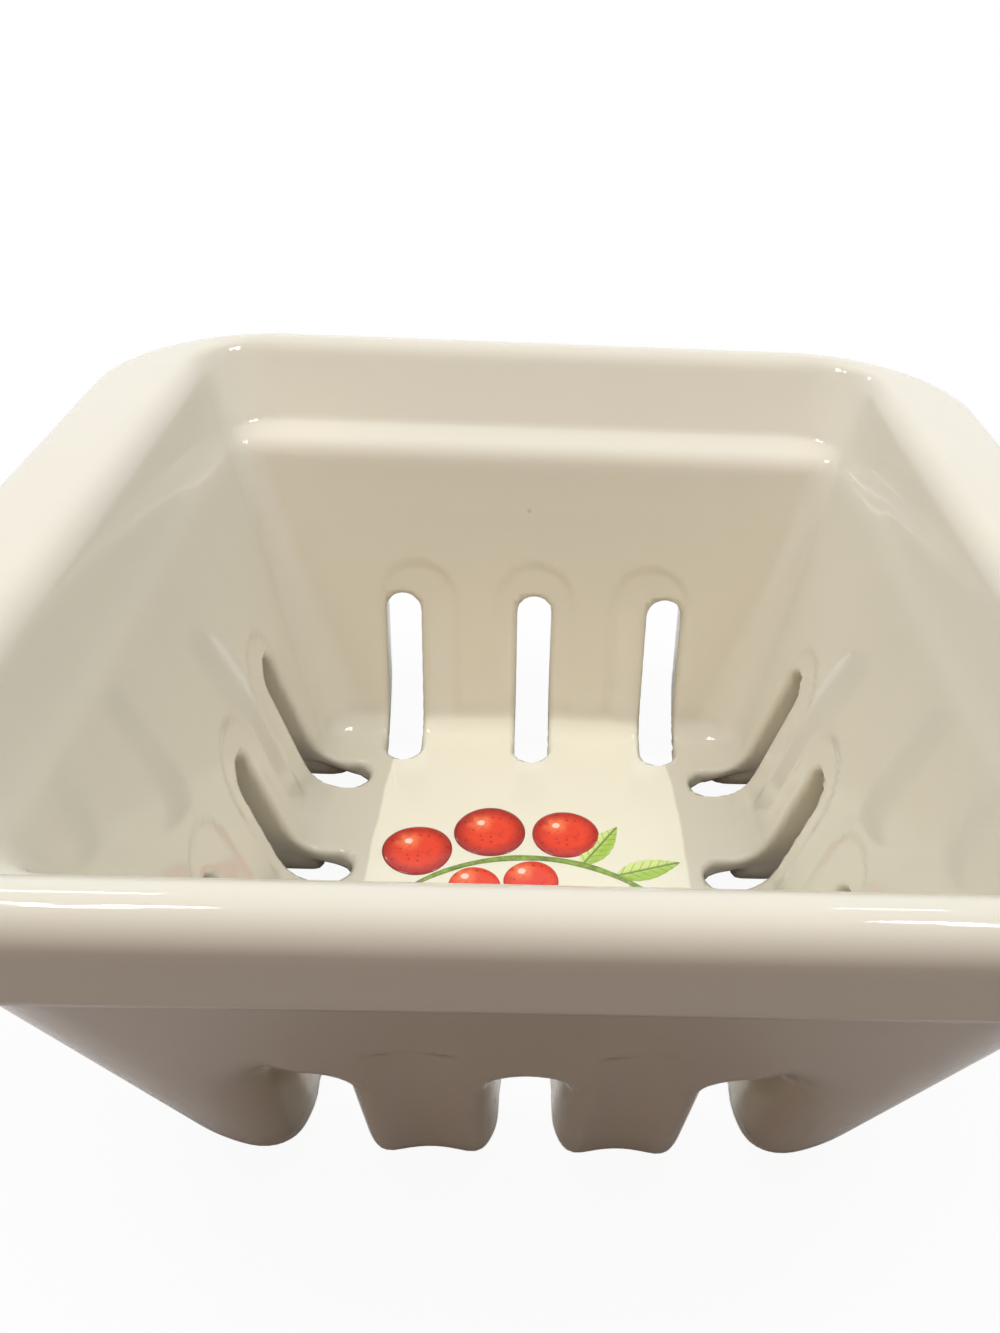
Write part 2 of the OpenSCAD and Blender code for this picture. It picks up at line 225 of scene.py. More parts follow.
def section_distance(points, hs, zs):
    """Signed distance from a closed section, below zero inside it."""
    h, z = np.meshgrid(hs, zs, indexing="ij")
    best = np.full(h.shape, np.inf)
    inside = np.zeros(h.shape, bool)
    for (h0, z0), (h1, z1) in zip(points, points[1:] + points[:1]):
        eh, ez = h1 - h0, z1 - z0
        long2 = eh * eh + ez * ez
        if long2 < NO_EDGE:
            continue
        t = np.clip(((h - h0) * eh + (z - z0) * ez) / long2, 0.0, 1.0)
        best = np.minimum(best, (h - h0 - t * eh) ** 2 + (z - z0 - t * ez) ** 2)
        crosses = (z0 > z) != (z1 > z)
        if z0 != z1:
            inside ^= crosses & (h < h0 + (z - z0) * eh / ez)
    return np.where(inside, -1.0, 1.0) * np.sqrt(best)


class BowlField:
    """Distance field of the whole ceramic body: below zero inside the clay."""

    # Section tables: spacing, first half width and height, reach past the body, and end
    cell, low, margin, behind = 0.00025, (-0.008, -0.006), 0.006, -0.012
    # Points down the side flare, and their softening
    flare_points, flare_blur = 121, 4.5
    # Inner corner radii at the ledge, their growth down the wall, and how far below the
    # wall's top the outer corners get the rim's radius
    ledge_turns, turn_curve, rim_below = (0.0055, 0.009), 1.4, 0.0008
    # Softening of the corner centres and of the side walls' shift, in cells
    corner_blur, shift_blur = 4, 3
    # Middle of the clay from the table to just above the floor, then in from the wall's
    # top; the heights above floor and ledge where it is known; the way to either face
    low_middles, wall_middle = (0.029, 0.031, 0.040, 0.046), 0.007
    above_floor, above_ledge, to_face, face_curve = 0.006, 0.003, 0.0035, 1.4
    # Bow and softness of the brow over a dimple
    brow_bow, brow_edge = 0.040, 0.0013
    # Softness of a pad's edge, and its start and rise above the floor
    pad_edge, pad_gap, pad_rise = 0.0018, 0.001, 0.006
    # Widths over which slots drop to the side's height and edges soften to a corner's
    drop_blend, edge_blend = 0.024, 0.004

    def __init__(self, s):
        self.s = s
        lean = math.tan(s.wall_lean)
        half = s.rim_width / 2
        band_z = s.height - s.band_height
        lip_in = s.lip_outer + s.lip_inner * math.sin(s.flare)
        lip_down = s.lip_inner * (1 - math.cos(s.flare))
        flare_in = lip_in + (s.ledge_depth - lip_down) / math.tan(s.flare)
        ledge_in = flare_in + s.ledge_width
        ledge_down = s.ledge_depth + s.ledge_width * math.tan(s.ledge_slope)
        round_in = ledge_in - s.ledge_round * math.sin(s.ledge_slope)
        round_down = ledge_down + s.ledge_round * math.cos(s.ledge_slope)
        start_in = round_in + s.ledge_round * math.cos(s.wall_lean)
        start_z = s.height - round_down + s.ledge_round * math.sin(s.wall_lean)

        def inner(z):
            return half - start_in + (z - start_z) * lean

        foot = inner(0.0) + s.wall_foot
        slope = (inner(band_z) + s.wall_top - foot) / band_z
        tilt = math.atan(slope)
        foot_c = foot + s.foot_round * slope - s.foot_round / math.cos(tilt)
        round_z = s.floor_top + s.floor_round
        round_c = inner(round_z) - s.floor_round / math.cos(s.wall_lean)
        degrees = math.degrees
        foot_up = arc(round_c, round_z, s.floor_round, -90, -degrees(s.wall_lean))
        front = arc(
            half - round_in, s.height - round_down, s.ledge_round,
            180 - degrees(s.wall_lean), 90 + degrees(s.ledge_slope),
        )
        front.append((half - flare_in, s.height - s.ledge_depth))
        lip_x, lip_z = half - s.lip_outer, s.height - s.lip_inner
        front += arc(lip_x, lip_z, s.lip_inner, 90 + degrees(s.flare), 90)
        # At the left and right the lip is wider and the ledge fades to a soft strip
        tip_in = s.lip_outer + s.side_lip + s.lip_inner * math.sin(s.side_flare)
        tip_down = s.lip_inner * (1 - math.cos(s.side_flare))
        strip_in = tip_in + (s.ledge_depth - tip_down) / math.tan(s.side_flare)
        strip_down = s.ledge_depth + s.side_strip
        downs = [tip_down, s.ledge_depth, strip_down, 2 * round_down]
        insets = [tip_in, strip_in, *(half - inner(s.height - d) for d in downs[2:])]
        down = np.linspace(downs[0], downs[-1], self.flare_points)
        inset = softened(np.interp(down, downs, insets), self.flare_blur, 0)
        side = list(zip(half - inset[::-1], s.height - down[::-1]))
        side += arc(lip_x - s.side_lip, lip_z, s.lip_inner, 90 + degrees(s.side_flare), 90)
        over = arc(lip_x, s.height - s.lip_outer, s.lip_outer, 90, 0)
        over += arc(half - s.band_edge, band_z + s.band_edge, s.band_edge, 0, -90)
        over.append((foot + band_z * slope, band_z))
        over += arc(foot_c, s.foot_round, s.foot_round, -degrees(tilt), -90)
        over += [(foot_c - s.foot_width, 0.0), (foot_c - s.foot_width, s.foot_lift)]
        over.append((self.behind, s.foot_lift))
        hs = np.arange(self.low[0], half + self.margin, self.cell)
        zs = np.arange(self.low[1], s.height + self.margin, self.cell)
        cells = s.glaze_soft / self.cell
        self.tables = []
        for face in (front, side):
            outline = [(self.behind, s.floor_top), *foot_up, *face, *over]
            table = section_distance(outline, hs, zs)
            self.tables.append(softened(softened(table, cells, 0), cells, 1))

        # Corner centres of the outer and the inner face, and the line between them
        corner = half - s.rim_corner
        self.zs = zs
        low_c = inner(s.floor_top) - s.corner_floor
        rim_z = start_z - self.rim_below
        outer = low_c + (zs - s.floor_top) * (corner - low_c) / (rim_z - s.floor_top)
        self.outer_c = np.minimum(outer, corner)
        share = np.clip((start_z - zs) / (start_z - s.floor_top), 0.0, 1.0)
        radius = s.corner_ledge + (s.corner_floor - s.corner_ledge) * share**self.turn_curve
        levels = [start_z, s.height - ledge_down, s.height - s.ledge_depth, s.height - lip_down]
        faces = [inner(start_z), half - ledge_in, half - flare_in, half - lip_in]
        turns = [s.corner_ledge, *self.ledge_turns, s.corner_rim]
        above = np.interp(zs, levels, faces) - np.interp(zs, levels, turns)
        inside = np.where(zs < start_z, inner(zs) - radius, above)
        self.inner_c = softened(inside, self.corner_blur, 0)
        # How far the inner face lies further in at the left and right
        widths = [np.interp(zs, *np.array([*foot_up, *face]).T[::-1]) for face in (front, side)]
        self.moved = softened(widths[0] - widths[1], self.shift_blur, 0)
        # Half widths between which the inner face's corners pass into the outer face's
        known = [0.0, s.foot_lift, s.floor_top, s.floor_top + self.above_floor, start_z]
        known += [levels[2] + self.above_ledge, levels[3]]
        middle = np.array([*self.low_middles, inner(start_z) + self.wall_middle])
        near = [*(middle - self.to_face), half - flare_in + self.to_face, half - lip_in]
        far = [*(middle + self.to_face), half - s.lip_outer, half - s.lip_outer]
        self.near = np.interp(zs, known, near)
        self.far = np.interp(zs, known, far)

    def section(self, t, h, z):
        """Distance in one softened section at half width h and height z."""
        n, m = t.shape
        u = np.clip((h - self.low[0]) / self.cell, 0, n - 1.001)
        v = np.clip((z - self.low[1]) / self.cell, 0, m - 1.001)
        i, j = u.astype(int), v.astype(int)
        fu, fv = u - i, v - j
        return (
            (t[i, j] * (1 - fu) + t[i + 1, j] * fu) * (1 - fv)
            + (t[i, j + 1] * (1 - fu) + t[i + 1, j + 1] * fu) * fv
        )

    @staticmethod
    def half_width(ax, ay, c):
        """Half width of the rounded square that passes through a point."""
        qx, qy = ax - c, ay - c
        return (
            c
            + np.hypot(np.maximum(qx, 0), np.maximum(qy, 0))
            + np.minimum(np.maximum(qx, qy), 0)
        )

    def distance(self, p):
        """Distance of the points p (n, 3) from the glazed surface."""
        s = self.s
        ax, ay, z = np.abs(p[:, 0]), np.abs(p[:, 1]), p[:, 2]
        deep, along = np.maximum(ax, ay), np.minimum(ax, ay)
        rows = (self.outer_c, self.inner_c, self.moved, self.near, self.far)
        outer_c, inner_c, moved, near, far = (np.interp(z, self.zs, row) for row in rows)
        outer_h = self.half_width(ax, ay, outer_c)
        inner_h = self.half_width(ax + moved, ay, inner_c)
        past = np.maximum(inner_h - near, 0)
        left = np.maximum(far - outer_h, 0)
        share = past / np.maximum(past + left, TINY)
        outside = ease(share)
        mix = share**self.face_curve
        d = self.section(self.tables[0], inner_h + (outer_h - inner_h) * mix, z)
        side_h = inner_h - moved
        side = self.section(self.tables[1], side_h + (outer_h - side_h) * mix, z)
        # Round a corner the front's section passes into the side's
        by_x = np.maximum(ax + moved - inner_c, 0) ** 2
        by_y = np.maximum(ay - inner_c, 0) ** 2
        d = d + (side - d) * (0.5 + 0.5 * (by_x - by_y) / (by_x + by_y + TINY_AREA))

        beside = np.minimum(along, np.abs(along - s.slot_pitch))
        # The slots at the left and right are lower, more so towards the front
        drop = s.side_slot_drop - s.side_slot_step * p[:, 1] / s.slot_pitch
        raised = z + drop * ease(0.5 + (ax - ay) / self.drop_blend)
        # Scooped channels outside, with round tops
        r = s.scoop_width / 2
        t2 = (beside / r) ** 2 + (np.maximum(raised - s.scoop_top + r, 0) / r) ** 2
        d = d + s.scoop_depth * np.maximum(1 - t2, 0) ** 2 * outside
        # Shallow dimples between the slots, with a brow at the top
        r = s.dimple_width / 2
        off = along - s.slot_pitch / 2
        brow = s.dimple_top - off * off / self.brow_bow
        shape = np.maximum(1 - (off / r) ** 2, 0) ** 1.5 * ease((brow - z) / self.brow_edge)
        d = d + s.dimple_depth * shape * outside
        # Faintly sunk pads inside, round each slot
        r = s.pad_width / 2
        by_pad = np.minimum(along, np.abs(along - s.pad_pitch))
        pad = np.hypot(by_pad, np.maximum(raised - s.pad_top + r, 0)) - r
        lift = ease(-pad / self.pad_edge)
        lift = lift * ease((z - s.floor_top - self.pad_gap) / self.pad_rise)
        d = d + s.pad_depth * lift * (1 - outside)
        # Drain slots
        r = s.slot_width / 2
        slot = (
            np.sqrt(
                beside**2
                + np.maximum(s.slot_end - deep, 0) ** 2
                + np.maximum(raised - s.slot_top + r, 0) ** 2
            )
            - r
            - s.slot_draft * outside
        )
        past = ease((along - s.slot_pitch) / self.edge_blend)
        edge = s.slot_edge_out + (s.slot_edge_corner - s.slot_edge_out) * past
        edge = s.slot_edge_in + (edge - s.slot_edge_in) * outside
        return soft_max(d, -slot, edge)

    def normals(self, p, reach=0.0003):
        """Directions of length 1 in which the distance grows."""
        g = np.empty_like(p)
        for axis in range(3):
            step = np.zeros(3)
            step[axis] = reach
            g[:, axis] = (self.distance(p + step) - self.distance(p - step)) / (2 * reach)
        return g / np.maximum(np.linalg.norm(g, axis=1), TINY)[:, None]


def surface_net(values):
    """Points and quads of the surface where values on a grid change sign."""
    shape = np.array(values.shape) - 1
    size = int(np.prod(shape))
    total = np.zeros((size, 3))
    count = np.zeros(size)
    rings = []
    for axis in range(3):
        a, b = (axis + 1) % 3, (axis + 2) % 3
        lower = np.take(values, np.arange(values.shape[axis] - 1), axis)
        upper = np.take(values, np.arange(1, values.shape[axis]), axis)
        start = np.argwhere((lower < 0) != (upper < 0))
        v0, v1 = lower[tuple(start.T)], upper[tuple(start.T)]
        place = start.astype(float)
        place[:, axis] += v0 / (v0 - v1)
        corners = []
        for da, db in ((-1, -1), (0, -1), (0, 0), (-1, 0)):
            cell = start.copy()
            cell[:, a] += da
            cell[:, b] += db
            flat = (cell[:, 0] * shape[1] + cell[:, 1]) * shape[2] + cell[:, 2]
            corners.append(flat)
            count += np.bincount(flat, minlength=size)
            for k in range(3):
                total[:, k] += np.bincount(flat, weights=place[:, k], minlength=size)
        quad = np.stack(corners, 1)
        quad[v0 >= 0] = quad[v0 >= 0][:, ::-1]
        rings.append(quad)
    used = count > 0
    number = np.cumsum(used) - 1
    return total[used] / count[used][:, None], number[np.concatenate(rings)]


# Cells of the skin's grid beside, below and above the body
CELLS_BESIDE, CELLS_BELOW, CELLS_ABOVE = 2, 1.6, 4
# Turns that even out the points, share of the way in each, pulls onto the surface after
# each, and reach of the shading normals
EVEN_TURNS, EVEN_SHARE, PULLS, NORMAL_REACH = 5, 0.5, 2, 0.00035
FEWEST_FACES = 1000


def bowl_skin(sizes):
    """Points, quads and normals of the glazed skin."""
    field = BowlField(sizes)
    step, half = sizes.mesh_step, sizes.rim_width / 2
    n_side = 2 * int(math.ceil((half + CELLS_BESIDE * step) / step))
    n_up = int(math.ceil(sizes.height / step)) + CELLS_ABOVE
    side = (np.arange(n_side) - (n_side - 1) / 2) * step
    up = (np.arange(n_up) - CELLS_BELOW) * step
    grid = np.stack(np.meshgrid(side, side, up, indexing="ij"), -1).reshape(-1, 3)
    values = field.distance(grid).reshape(n_side, n_side, n_up)
    points, quads = surface_net(values)
    points = np.array([side[0], side[0], up[0]]) + points * step
    n = len(points)
    pairs = np.concatenate([quads[:, [i, (i + 1) % 4]] for i in range(4)])
    ends = np.concatenate([pairs[:, 0], pairs[:, 1]])
    others = np.concatenate([pairs[:, 1], pairs[:, 0]])
    degree = np.bincount(ends, minlength=n)[:, None]
    for turn in range(EVEN_TURNS + 1):
        g = field.normals(points)
        if turn < EVEN_TURNS:
            sums = [np.bincount(ends, weights=points[others, k], minlength=n) for k in range(3)]
            move = np.stack(sums, 1) / degree - points
            move -= (move * g).sum(1)[:, None] * g
            points = points + EVEN_SHARE * move
        for _ in range(PULLS):
            points = points - np.clip(field.distance(points), -step, step)[:, None] * g
    points = np.clip(points, [-half, -half, 0.0], [half, half, sizes.height])
    return points, quads, field.normals(points, NORMAL_REACH)


# ---- helpers


def placed(name, data):
    """A new object, linked into the scene."""
    made = bpy.data.objects.new(name, data)
    bpy.context.scene.collection.objects.link(made)
    return made


def add_piece(name, mesh, material, nodes, at=None):
    """A shown piece that rides on the part's one body."""
    mesh.materials.append(material)
    piece = placed(name, mesh)
    if at is not None:
        piece.matrix_world = at
    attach(piece, "root")
    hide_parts(*nodes)


def flat_relief(name, outline, thickness, inset):
    """A thin closed relief over a star-shaped outline round a middle, with a soft edge."""
    middle = outline.mean(0)
    # Share of the outline and height, from the foot inwards
    rings = [
        (1.0, -ENAMEL_SINK), (1.0, thickness * 0.35), (1 - inset * 0.35, thickness * 0.8),
        (1 - inset, thickness), (0.6, thickness), (0.3, thickness),
    ]
    n = len(outline)
    points, faces = [], []
    for share, z in rings:
        points += [(x, y, z) for x, y in middle + (outline - middle) * share]
    points.append((middle[0], middle[1], thickness))
    points.append((middle[0], middle[1], -ENAMEL_SINK))
    top, bottom = len(points) - 2, len(points) - 1
    for k in range(len(rings) - 1):
        for i in range(n):
            j = (i + 1) % n
            faces.append((k * n + i, k * n + j, (k + 1) * n + j, (k + 1) * n + i))
    last = (len(rings) - 1) * n
    for i in range(n):
        j = (i + 1) % n
        faces.append((last + i, last + j, top))
        faces.append((j, i, bottom))
    mesh = bpy.data.meshes.new(name)
    mesh.from_pydata(points, [], faces)
    mesh.validate()
    mesh.shade_smooth()
    return mesh


# ---- materials


# Iron specks in the glaze, and the painted glint on a berry
SPECK_TINT, GLINT_TINT = (0.30, 0.22, 0.14), (0.95, 0.80, 0.72)
# Height of a full bump, and the gloss of the glaze and of the enamels
RELIEF = 0.0001
GLAZE_GLOSS = {"IOR": 1.46, "Coat Weight": 0.25, "Coat Roughness": 0.015, "Coat IOR": 1.5}
ENAMEL_GLOSS = {"IOR": 1.5, "Coat Weight": 0.3, "Coat Roughness": 0.04}
# Painted shade darkens the glaze below the first height; glaze ends on the feet between the other
# two
LOW_SHADE_HEIGHT, WIPED = 0.0125, (0.0007, 0.0004)
# Floor field, partly painted light: where it fades to the sides, to front and back and above the
# floor
FIELD_SIDES, FIELD_ENDS, FIELD_TOP = (0.0268, 0.0262), (0.0395, 0.0380), (0.0060, 0.0045)
FIELD_BOW, FIELD_WAVE = 1.6, 0.0009
# A berry: its light's place, and the distances over which each mark fades
LIGHT_PLACE = (-0.0016, 0.0020, 0.0)
RIM, OUTLINE, LIGHT = (0.0034, 0.0060), (0.00535, 0.00575), (0.0036, 0.0010)
GLINT, SEEDED = (0.0012, 0.0009), (0.0016, 0.0024)
# A leaf: fading of midrib, veins and lighter side; slant and number of veins per metre
RIB, VEINED, LEAF_LIGHT = (0.00026, 0.00012), (0.0023, 0.0012), (-0.0006, 0.0016)
VEIN_SLANT, VEINS = 0.9, 620.0


def shade(tint, share):
    """A darker shade of a colour."""
    return tuple(c * share for c in tint)


class Nodes:
    """Short calls to place and join the nodes of one tree."""

    def __init__(self, tree):
        self.tree = tree

    def feed(self, socket, value):
        """Link a socket to another one, or set it to a constant."""
        if isinstance(value, bpy.types.NodeSocket):
            self.tree.links.new(value, socket)
        elif socket.type == "RGBA" and len(value) == 3:
            socket.default_value = (*value, 1.0)
        else:
            socket.default_value = value

    def add(self, kind, inputs=None, **values):
        """A node with its own settings; inputs says what each socket is fed."""
        node = self.tree.nodes.new(kind)
        for key, value in values.items():
            setattr(node, key, value)
        for key, value in (inputs or {}).items():
            self.feed(node.inputs[key], value)
        return node

    def math(self, operation, a, b=0.0):
        """Result of a maths node."""
        return self.add("ShaderNodeMath", {0: a, 1: b}, operation=operation).outputs[0]

    def times(self, a, b):
        """Two values multiplied."""
        return self.math("MULTIPLY", a, b)

    def plus(self, a, b):
        """Two values added."""
        return self.math("ADD", a, b)

    def ramp(self, value, low, high, start=0.0, end=1.0):
        """A value eased from start to end between low and high."""
        given = {"Value": value, "From Min": low, "From Max": high, "To Min": start, "To Max": end}
        node = self.add("ShaderNodeMapRange", given, interpolation_type="SMOOTHSTEP")
        return node.outputs["Result"]

    def mix(self, factor, a, b):
        """Two colours mixed; 6 and 7 are the colours' places on the mix node."""
        return self.add("ShaderNodeMix", {0: factor, 6: a, 7: b}, data_type="RGBA").outputs[2]

    def noise(self, vector, scale, detail=2.0, rough=0.5):
        """A noise value."""
        given = {"Vector": vector, "Scale": scale, "Detail": detail, "Roughness": rough}
        return self.add("ShaderNodeTexNoise", given).outputs["Fac"]

    def parts(self, vector):
        """X, Y and Z of a vector."""
        return self.add("ShaderNodeSeparateXYZ", {0: vector}).outputs

    def far(self, vector):
        """Length of a vector."""
        return self.add("ShaderNodeVectorMath", {0: vector}, operation="LENGTH").outputs["Value"]

    def place(self):
        """Place on the surface, in the piece's own frame."""
        return self.add("ShaderNodeTexCoord").outputs["Object"]


def new_group(name, inputs, outputs):
    """A node group: its nodes, the sockets that it is given and those that it feeds."""
    group = bpy.data.node_groups.new(name, "ShaderNodeTree")
    for label, kind, default in inputs:
        given = group.interface.new_socket(label, in_out="INPUT", socket_type="NodeSocket" + kind)
        if default is not None:
            given.default_value = default
    for label, kind in outputs:
        group.interface.new_socket(label, in_out="OUTPUT", socket_type="NodeSocket" + kind)
    n = Nodes(group)
    return n, n.add("NodeGroupInput").outputs, n.add("NodeGroupOutput").inputs


def glaze_group():
    """Glaze variation: cloudy tint, painted shade that darkens the glaze near the floor, specks
    and ripple.
    """
    found = bpy.data.node_groups.get("Glaze variation")
    if found:
        return found
    n, given, out = new_group(
        "Glaze variation",
        (
            ("Position", "Vector", None), ("Glaze", "Color", (0.8, 0.78, 0.7, 1)),
            ("Low shade", "Color", (0.75, 0.75, 0.7, 1)), ("Thin", "Color", (0.82, 0.78, 0.7, 1)),
            ("Shade height", "Float", 0.012),
        ),
        (("Colour", "Color"), ("Roughness", "Float"), ("Height", "Float")),
    )
    place, level = given["Position"], given["Shade height"]
    cloud = n.noise(place, 38.0, 3.0, 0.55)
    # Painted shade: the glaze darkens below the shade height, with a cloudy edge
    edge = n.times(level, n.ramp(cloud, 0.3, 0.65, 0.8, 1.2))
    low_shade = n.ramp(n.parts(place)["Z"], edge, n.times(level, 0.5))
    thin = n.ramp(cloud, 0.52, 0.72)
    tint = n.mix(low_shade, n.mix(thin, given["Glaze"], given["Thin"]), given["Low shade"])
    # Fine iron specks, few and small
    chance = n.ramp(n.noise(place, 95.0, 1.0), 0.73, 0.77)
    cells = n.add("ShaderNodeTexVoronoi", {"Vector": place, "Scale": 190.0}).outputs
    speck = n.times(n.ramp(cells["Distance"], 0.10, 0.045), chance)
    n.feed(out["Colour"], n.mix(n.times(speck, 0.3), tint, SPECK_TINT))
    rough = n.plus(0.05, n.times(n.noise(place, 420.0), 0.04))
    n.feed(out["Roughness"], n.plus(rough, n.times(speck, 0.2)))
    ripple = n.plus(n.noise(place, 160.0), n.times(n.noise(place, 60.0, 1.0), 1.6))
    n.feed(out["Height"], n.math("SUBTRACT", ripple, n.times(speck, 0.5)))
    return n.tree


def brush_group():
    """Brush marks in fired enamel: streaky strength, gloss and relief."""
    found = bpy.data.node_groups.get("Brush marks")
    if found:
        return found
    n, given, out = new_group(
        "Brush marks",
        (("Position", "Vector", None), ("Scale", "Float", 600.0)),
        [(label, "Float") for label in ("Marks", "Thin", "Roughness", "Height")],
    )
    marks = n.noise(given["Position"], given["Scale"], 3.0, 0.6)
    n.feed(out["Marks"], marks)
    n.feed(out["Thin"], n.ramp(marks, 0.52, 0.72))
    n.feed(out["Roughness"], n.plus(0.08, n.times(marks, 0.08)))
    n.feed(out["Height"], marks)
    return n.tree


def brushed(n, place, scale):
    """The brush marks placed in one enamel."""
    given = {"Position": place, "Scale": scale}
    return n.add("ShaderNodeGroup", given, node_tree=brush_group()).outputs


def new_material(name):
    """An empty node material and its tree."""
    material = bpy.data.materials.new(name)
    material.use_nodes = True
    material.node_tree.nodes.clear()
    return material, Nodes(material.node_tree)


def shader(n, tint, rough, height, strength, gloss):
    """Principled shader with its output; constants go straight on its sockets."""
    bump = n.add("ShaderNodeBump", {"Strength": strength, "Distance": RELIEF, "Height": height})
    given = {"Base Color": tint, "Roughness": rough, "Normal": bump.outputs["Normal"], **gloss}
    bsdf = n.add("ShaderNodeBsdfPrincipled", given)
    n.add("ShaderNodeOutputMaterial", {"Surface": bsdf.outputs["BSDF"]})


def enamel(n, tint, brush):
    """Shader of an enamel with its brush marks."""
    shader(n, tint, brush["Roughness"], brush["Height"], 0.15, ENAMEL_GLOSS)


def floor_field_partly_lit(n, place, height):
    """Mask of the lighter cream field on the bowl's floor, partly painted light, with slightly
    bowed sides.
    """
    parts = n.parts(place)
    x, y = n.math("ABSOLUTE", parts["X"]), n.math("ABSOLUTE", parts["Y"])
    wave = n.times(n.math("SUBTRACT", n.noise(place, 120.0), 0.5), FIELD_WAVE)
    across = n.plus(n.plus(x, n.times(n.times(y, y), FIELD_BOW)), wave)
    down = n.plus(n.plus(y, n.times(n.times(x, x), FIELD_BOW)), wave)
    inside = n.times(n.ramp(across, *FIELD_SIDES), n.ramp(down, *FIELD_ENDS))
    return n.times(inside, n.ramp(height, *(FLOOR_Z + z for z in FIELD_TOP)))


def glazed_ceramic(colours):
    """Glossy cream-white glaze, with bare clay where the feet are wiped."""
    material, n = new_material("Glazed ceramic")
    place = n.place()
    # The low glaze colour is painted shade near the floor and feet
    given = {
        "Position": place, "Glaze": colours.glaze, "Low shade": colours.glaze_low_shade,
        "Thin": colours.glaze_thin, "Shade height": LOW_SHADE_HEIGHT,
    }
    glaze = n.add("ShaderNodeGroup", given, node_tree=glaze_group()).outputs
    height = n.parts(place)["Z"]
    bare = n.ramp(n.plus(height, n.times(n.noise(place, 260.0, 3.0), 0.0004)), *WIPED)
    grain = n.noise(place, 1500.0, 3.0, 0.7)
    clay = n.mix(n.ramp(grain, 0.35, 0.7), colours.clay, shade(colours.clay, 0.82))
    tint = n.mix(bare, glaze["Colour"], clay)
    # Lighter field on the floor's middle over the painted shade: partly own tone, partly painted
    # light
    tint = n.mix(n.times(floor_field_partly_lit(n, place, height), 0.9), tint, colours.field)
    rough = n.plus(glaze["Roughness"], n.times(bare, 0.7))
    relief = n.plus(glaze["Height"], n.times(bare, n.times(grain, 2.0)))
    shader(n, tint, rough, relief, 0.12, GLAZE_GLOSS)
    return material


def berry_enamel(colours):
    """Painted berry: light side, dark rim, seeds and brush marks, in the berry's frame."""
    material, n = new_material("Berry enamel")
    place, dark = n.place(), colours.berry_dark
    brush = brushed(n, place, 700.0)
    marks = brush["Marks"]
    away = n.far(place)
    rim = n.ramp(n.plus(away, n.times(marks, 0.0007)), *RIM)
    shifted = n.add("ShaderNodeVectorMath", {0: place, 1: LIGHT_PLACE}, operation="SUBTRACT")
    near = n.far(shifted.outputs["Vector"])
    light = n.ramp(n.plus(near, n.times(marks, 0.0016)), *LIGHT)
    glint = n.ramp(n.plus(near, n.times(marks, 0.0008)), *GLINT)
    given = {"Vector": place, "Scale": 640.0, "Randomness": 0.55}
    cells = n.add("ShaderNodeTexVoronoi", given).outputs
    seed = n.times(n.ramp(cells["Distance"], 0.20, 0.12), n.ramp(near, *SEEDED))
    tint = n.mix(rim, colours.berry, dark)
    tint = n.mix(n.times(light, 0.85), tint, colours.berry_light)
    tint = n.mix(n.times(brush["Thin"], 0.30), tint, dark)
    tint = n.mix(n.times(seed, 0.55), tint, shade(dark, 0.35))
    tint = n.mix(n.times(n.ramp(away, *OUTLINE), 0.55), tint, shade(dark, 0.4))
    tint = n.mix(n.times(glint, 0.7), tint, GLINT_TINT)
    enamel(n, tint, brush)
    return material


def leaf_enamel(colours):
    """Painted leaf: midrib, side veins and a lighter side, in the leaf's own frame."""
    material, n = new_material("Leaf enamel")
    place = n.place()
    brush = brushed(n, place, 600.0)
    parts = n.parts(place)
    across = n.math("ABSOLUTE", parts["Y"])
    run = n.math("SUBTRACT", parts["X"], n.times(across, VEIN_SLANT))
    saw = n.math("SUBTRACT", n.math("FRACT", n.times(run, VEINS)), 0.5)
    vein = n.times(n.ramp(n.math("ABSOLUTE", saw), 0.10, 0.03), n.ramp(across, *VEINED))
    side = n.ramp(n.plus(parts["Y"], n.times(brush["Marks"], 0.0010)), *LEAF_LIGHT)
    tint = n.mix(side, colours.leaf, colours.leaf_light)
    tint = n.mix(n.times(brush["Thin"], 0.35), tint, shade(colours.leaf, 0.6))
    line = n.math("MAXIMUM", n.ramp(across, *RIB), n.times(vein, 0.7))
    tint = n.mix(n.times(line, 0.85), tint, colours.line)
    enamel(n, tint, brush)
    return material


def line_enamel(colours):
    """Painted stem: a dark green brush line."""
    material, n = new_material("Line enamel")
    brush = brushed(n, n.place(), 500.0)
    tint = n.mix(n.ramp(brush["Marks"], 0.35, 0.7), colours.line, shade(colours.leaf, 0.75))
    enamel(n, tint, brush)
    return material


# ---- the sprig

# How deep the enamel is sunk into the glaze
ENAMEL_SINK = 0.00006
# Each berry: degrees along the arc, side of the stem, share of the largest berry
BERRIES = (
    ("berry_1", 122, 1, 0.96), ("berry_2", 101, 1, 1.0), ("berry_3", 80, 1, 0.94),
    ("berry_4", 138, -1, 0.78), ("berry_5", 112, -1, 0.7), ("berry_6", 89, -1, 0.74),
)
BERRY_POINTS, BERRY_WOBBLE, BERRY_EDGE, BERRY_GAP = 48, 0.012, 0.12, 0.0002
# Each leaf: degrees along the arc, lean from the stem, layer above the others
LEAVES = (
    ("leaf_1", 72, 75, 0), ("leaf_2", 60, 48, 1), ("leaf_3", 46, 40, 2),
    ("leaf_4", 54, -38, 1), ("leaf_5", 40, -36, 2), ("leaf_6", 36, -2, 3),
)
LEAF_POINTS, LEAF_TEETH, LEAF_EDGE = 25, 7, 0.14
# The stem: degrees along the arc, steps, and its section in half widths and heights
STEM_FROM, STEM_TO, STEM_STEPS = 36, 132, 72
STEM_SECTION = (
    (-1, -ENAMEL_SINK), (-1, 0.00012), (-0.5, 0.00019),
    (0.5, 0.00019), (1, 0.00012), (1, -ENAMEL_SINK),
)


